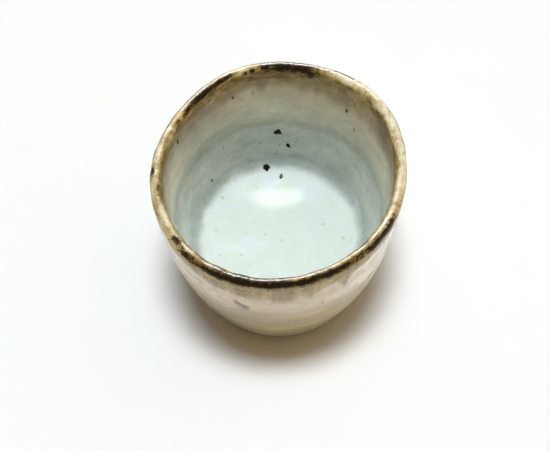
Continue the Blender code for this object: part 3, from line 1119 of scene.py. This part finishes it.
# Camera, from the photograph's viewing angle
IMAGE_WIDTH = 550
FOCAL_PIXELS = 1300
SENSOR_WIDTH = 36
CAMERA_NEAR = 0.01
CAMERA_ELEVATION = math.radians(58.767)
CAMERA_YAW = math.radians(0.292)
CAMERA_PITCH = math.radians(-2.402)
CAMERA_ROLL = math.radians(2.728)
CAMERA_DISTANCE = 0.397804
CAMERA_AIM = Vector((0, 0, 0.0622))


def add_camera():
    data = bpy.data.cameras.new("camera")
    data.sensor_width = SENSOR_WIDTH
    data.lens = SENSOR_WIDTH * FOCAL_PIXELS / IMAGE_WIDTH
    data.clip_start = CAMERA_NEAR
    turn = Matrix.Rotation(math.pi / 2 - CAMERA_ELEVATION, 3, "X")
    turn = turn @ Matrix.Rotation(CAMERA_YAW, 3, "Y")
    turn = turn @ Matrix.Rotation(CAMERA_PITCH, 3, "X")
    turn = turn @ Matrix.Rotation(-CAMERA_ROLL, 3, "Z")
    back = Vector((0, -math.cos(CAMERA_ELEVATION), math.sin(CAMERA_ELEVATION)))
    camera = bpy.data.objects.new("camera", data)
    camera.matrix_world = turn.to_4x4()
    camera.location = CAMERA_AIM + back * CAMERA_DISTANCE
    bpy.context.scene.collection.objects.link(camera)
    bpy.context.scene.camera = camera


# Soft keys from above: leans to the front and the right and spread, in degrees, then strength
# and colour; the cool ones spread wider, so the edge of the shadow is warm
WARM_KEY_COLOUR = (1, 0.84, 0.74)
COOL_KEY_COLOUR = (0.3, 0.7, 1)
KEYS = (
    (0.7, -2.3, 9, 0.865, WARM_KEY_COLOUR),
    (0.7, 3.9, 9, 0.865, WARM_KEY_COLOUR),
    (-0.2, -2.7, 13, 0.65, COOL_KEY_COLOUR),
    (-0.2, 4.2, 13, 0.65, COOL_KEY_COLOUR),
)

# Lamps that only the gloss shows: power, size, azimuth and elevation in degrees, distance
PANEL_COLOUR = (1, 0.95, 0.94)
PANELS = (
    (0.066, (0.08, 0.045), 90, 68, 1),
    (25, (0.24, 0.56), 84, 32, 1.2),
    (25, (0.24, 0.56), 104, 32, 1.2),
)

# Fill from all round, and the heights and depths over which it changes
FILL_HEIGHTS = (0.15, 0.7)
FRONT_TO_BACK = (-0.5, 0.5)
BACK_COLOUR = (1, 0.95, 0.9, 1)
BACK_LEVEL = 0.28
WARM_COLOUR = (1, 0.68, 0.29, 1)
FRONT_LEVEL = 0.06
LOW_LEVEL = 0.09
LOW_FRONT_LEVEL = 0.08
LEFT_LEVEL = 0.24
RIGHT_COLOUR = (1, 0.75, 0.43, 1)
RIGHT_LEVEL = 0.39
BACKDROP_COLOUR = (0.97, 0.97, 0.97, 1)
BACKDROP_LEVELS = (0.12, 0.32)

# Table: half its width, and its gap below the foot
TABLE_HALF = 4
TABLE_GAP = 0.0001


def add_lamp(name, kind, strength, colour):
    data = bpy.data.lights.new(name, kind)
    data.energy = strength
    data.color = colour
    lamp = bpy.data.objects.new(name, data)
    bpy.context.scene.collection.objects.link(lamp)
    return lamp


def add_panel(power, size, azimuth, elevation, distance):
    """A flat lamp that faces the cup and only shows in its gloss."""
    panel = add_lamp("panel", "AREA", power, PANEL_COLOUR)
    panel.data.shape = "ELLIPSE"
    panel.data.size, panel.data.size_y = size
    panel.visible_diffuse = False
    turn = math.radians(azimuth)
    rise = math.radians(elevation)
    panel.rotation_euler = (math.pi / 2 - rise, 0, turn + math.pi / 2)
    level = math.cos(rise)
    place = Vector((level * math.cos(turn), level * math.sin(turn), math.sin(rise)))
    panel.location = place * distance


def add_lamps():
    for front, right, spread, strength, colour in KEYS:
        key = add_lamp("soft_key", "SUN", strength, colour)
        key.data.angle = math.radians(spread)
        key.rotation_euler = (math.radians(front), math.radians(right), 0)
        key.visible_glossy = False
    for panel in PANELS:
        add_panel(*panel)


def fill_light(tree, x, y, z):
    """Warm fill for the surfaces, by the direction that it comes from."""

    def fill(colour, strength):
        return tree.add("ShaderNodeBackground", colour, strength).outputs[0]

    def sum_of(first, second):
        return tree.add("ShaderNodeAddShader", first, second).outputs[0]

    aloft = tree.step(z, *FILL_HEIGHTS)
    back = tree.times(aloft, tree.step(y, *FRONT_TO_BACK, 0, BACK_LEVEL))
    front = tree.times(aloft, tree.step(y, *FRONT_TO_BACK, FRONT_LEVEL, 0))
    towards = tree.larger(tree.times(y, -1), 0)
    low = tree.times_plus(towards, LOW_FRONT_LEVEL, LOW_LEVEL)
    low = tree.times(low, tree.step(z, *FILL_HEIGHTS, 1, 0))
    left = tree.larger(tree.times(x, -LEFT_LEVEL), 0)
    warm = tree.plus(tree.plus(front, low), left)
    right_level = tree.step(z, *FILL_HEIGHTS, RIGHT_LEVEL, 2 * RIGHT_LEVEL)
    right = tree.times(tree.larger(x, 0), right_level)
    light = sum_of(fill(BACK_COLOUR, back), fill(WARM_COLOUR, warm))
    return sum_of(light, fill(RIGHT_COLOUR, right))


def add_world():
    """Fill for the surfaces, and a white backdrop that the camera and the gloss see."""
    world = bpy.data.worlds.new("studio")
    tree = Tree(world)
    direction = tree.add("ShaderNodeTexCoord").outputs["Generated"]
    x, y, z = tree.add("ShaderNodeSeparateXYZ", direction).outputs
    path = tree.add("ShaderNodeLightPath").outputs
    gloss_level = tree.step(y, *FRONT_TO_BACK, *BACKDROP_LEVELS)
    level = tree.larger(gloss_level, path["Is Camera Ray"])
    backdrop = tree.add("ShaderNodeBackground", BACKDROP_COLOUR, level).outputs[0]
    shown = tree.larger(path["Is Glossy Ray"], path["Is Transmission Ray"])
    shown = tree.larger(shown, path["Is Camera Ray"])
    choice = tree.add("ShaderNodeMixShader", shown, fill_light(tree, x, y, z), backdrop)
    tree.feed(tree.nodes["World Output"].inputs["Surface"], choice.outputs[0])
    bpy.context.scene.world = world


def add_floor():
    """Plain white table, with its far edge out of sight."""
    half = TABLE_HALF
    mesh = bpy.data.meshes.new("floor")
    corners = [(-half, -half, 0), (half, -half, 0), (half, half, 0), (-half, half, 0)]
    mesh.from_pydata(corners, [], [(0, 1, 2, 3)])
    tree = Finish("white_table")
    grain = tree.noise(tree.position, 60, 3, 0.5)
    colour = tree.mix(grain, (0.945, 0.96, 0.967, 1), (0.955, 0.967, 0.972, 1))
    normal = tree.bump(grain, 0.0001, 0.05)
    mesh.materials.append(tree.finish(colour, 0.8, normal, 0))
    floor = bpy.data.objects.new("floor", mesh)
    floor.location.z = -TABLE_GAP
    bpy.context.scene.collection.objects.link(floor)


def build_cup():
    bare = stoneware()
    inner_glaze(glaze("inner_glaze_looks", *INNER_FINISH))
    rim_wash(glaze("rim_wash_looks", *RIM_FINISH))
    outer_glaze(glaze("outer_glaze_looks", *OUTER_FINISH))
    clay_body(bare)
    foot_ring(bare)
    glass = iron_glass()
    for number, speck in enumerate(SPECKS, start=1):
        iron_speck(number, *speck, glass)


bpy.context.scene.view_settings.view_transform = "Standard"
add_camera()
add_lamps()
add_world()
add_floor()
build_cup()
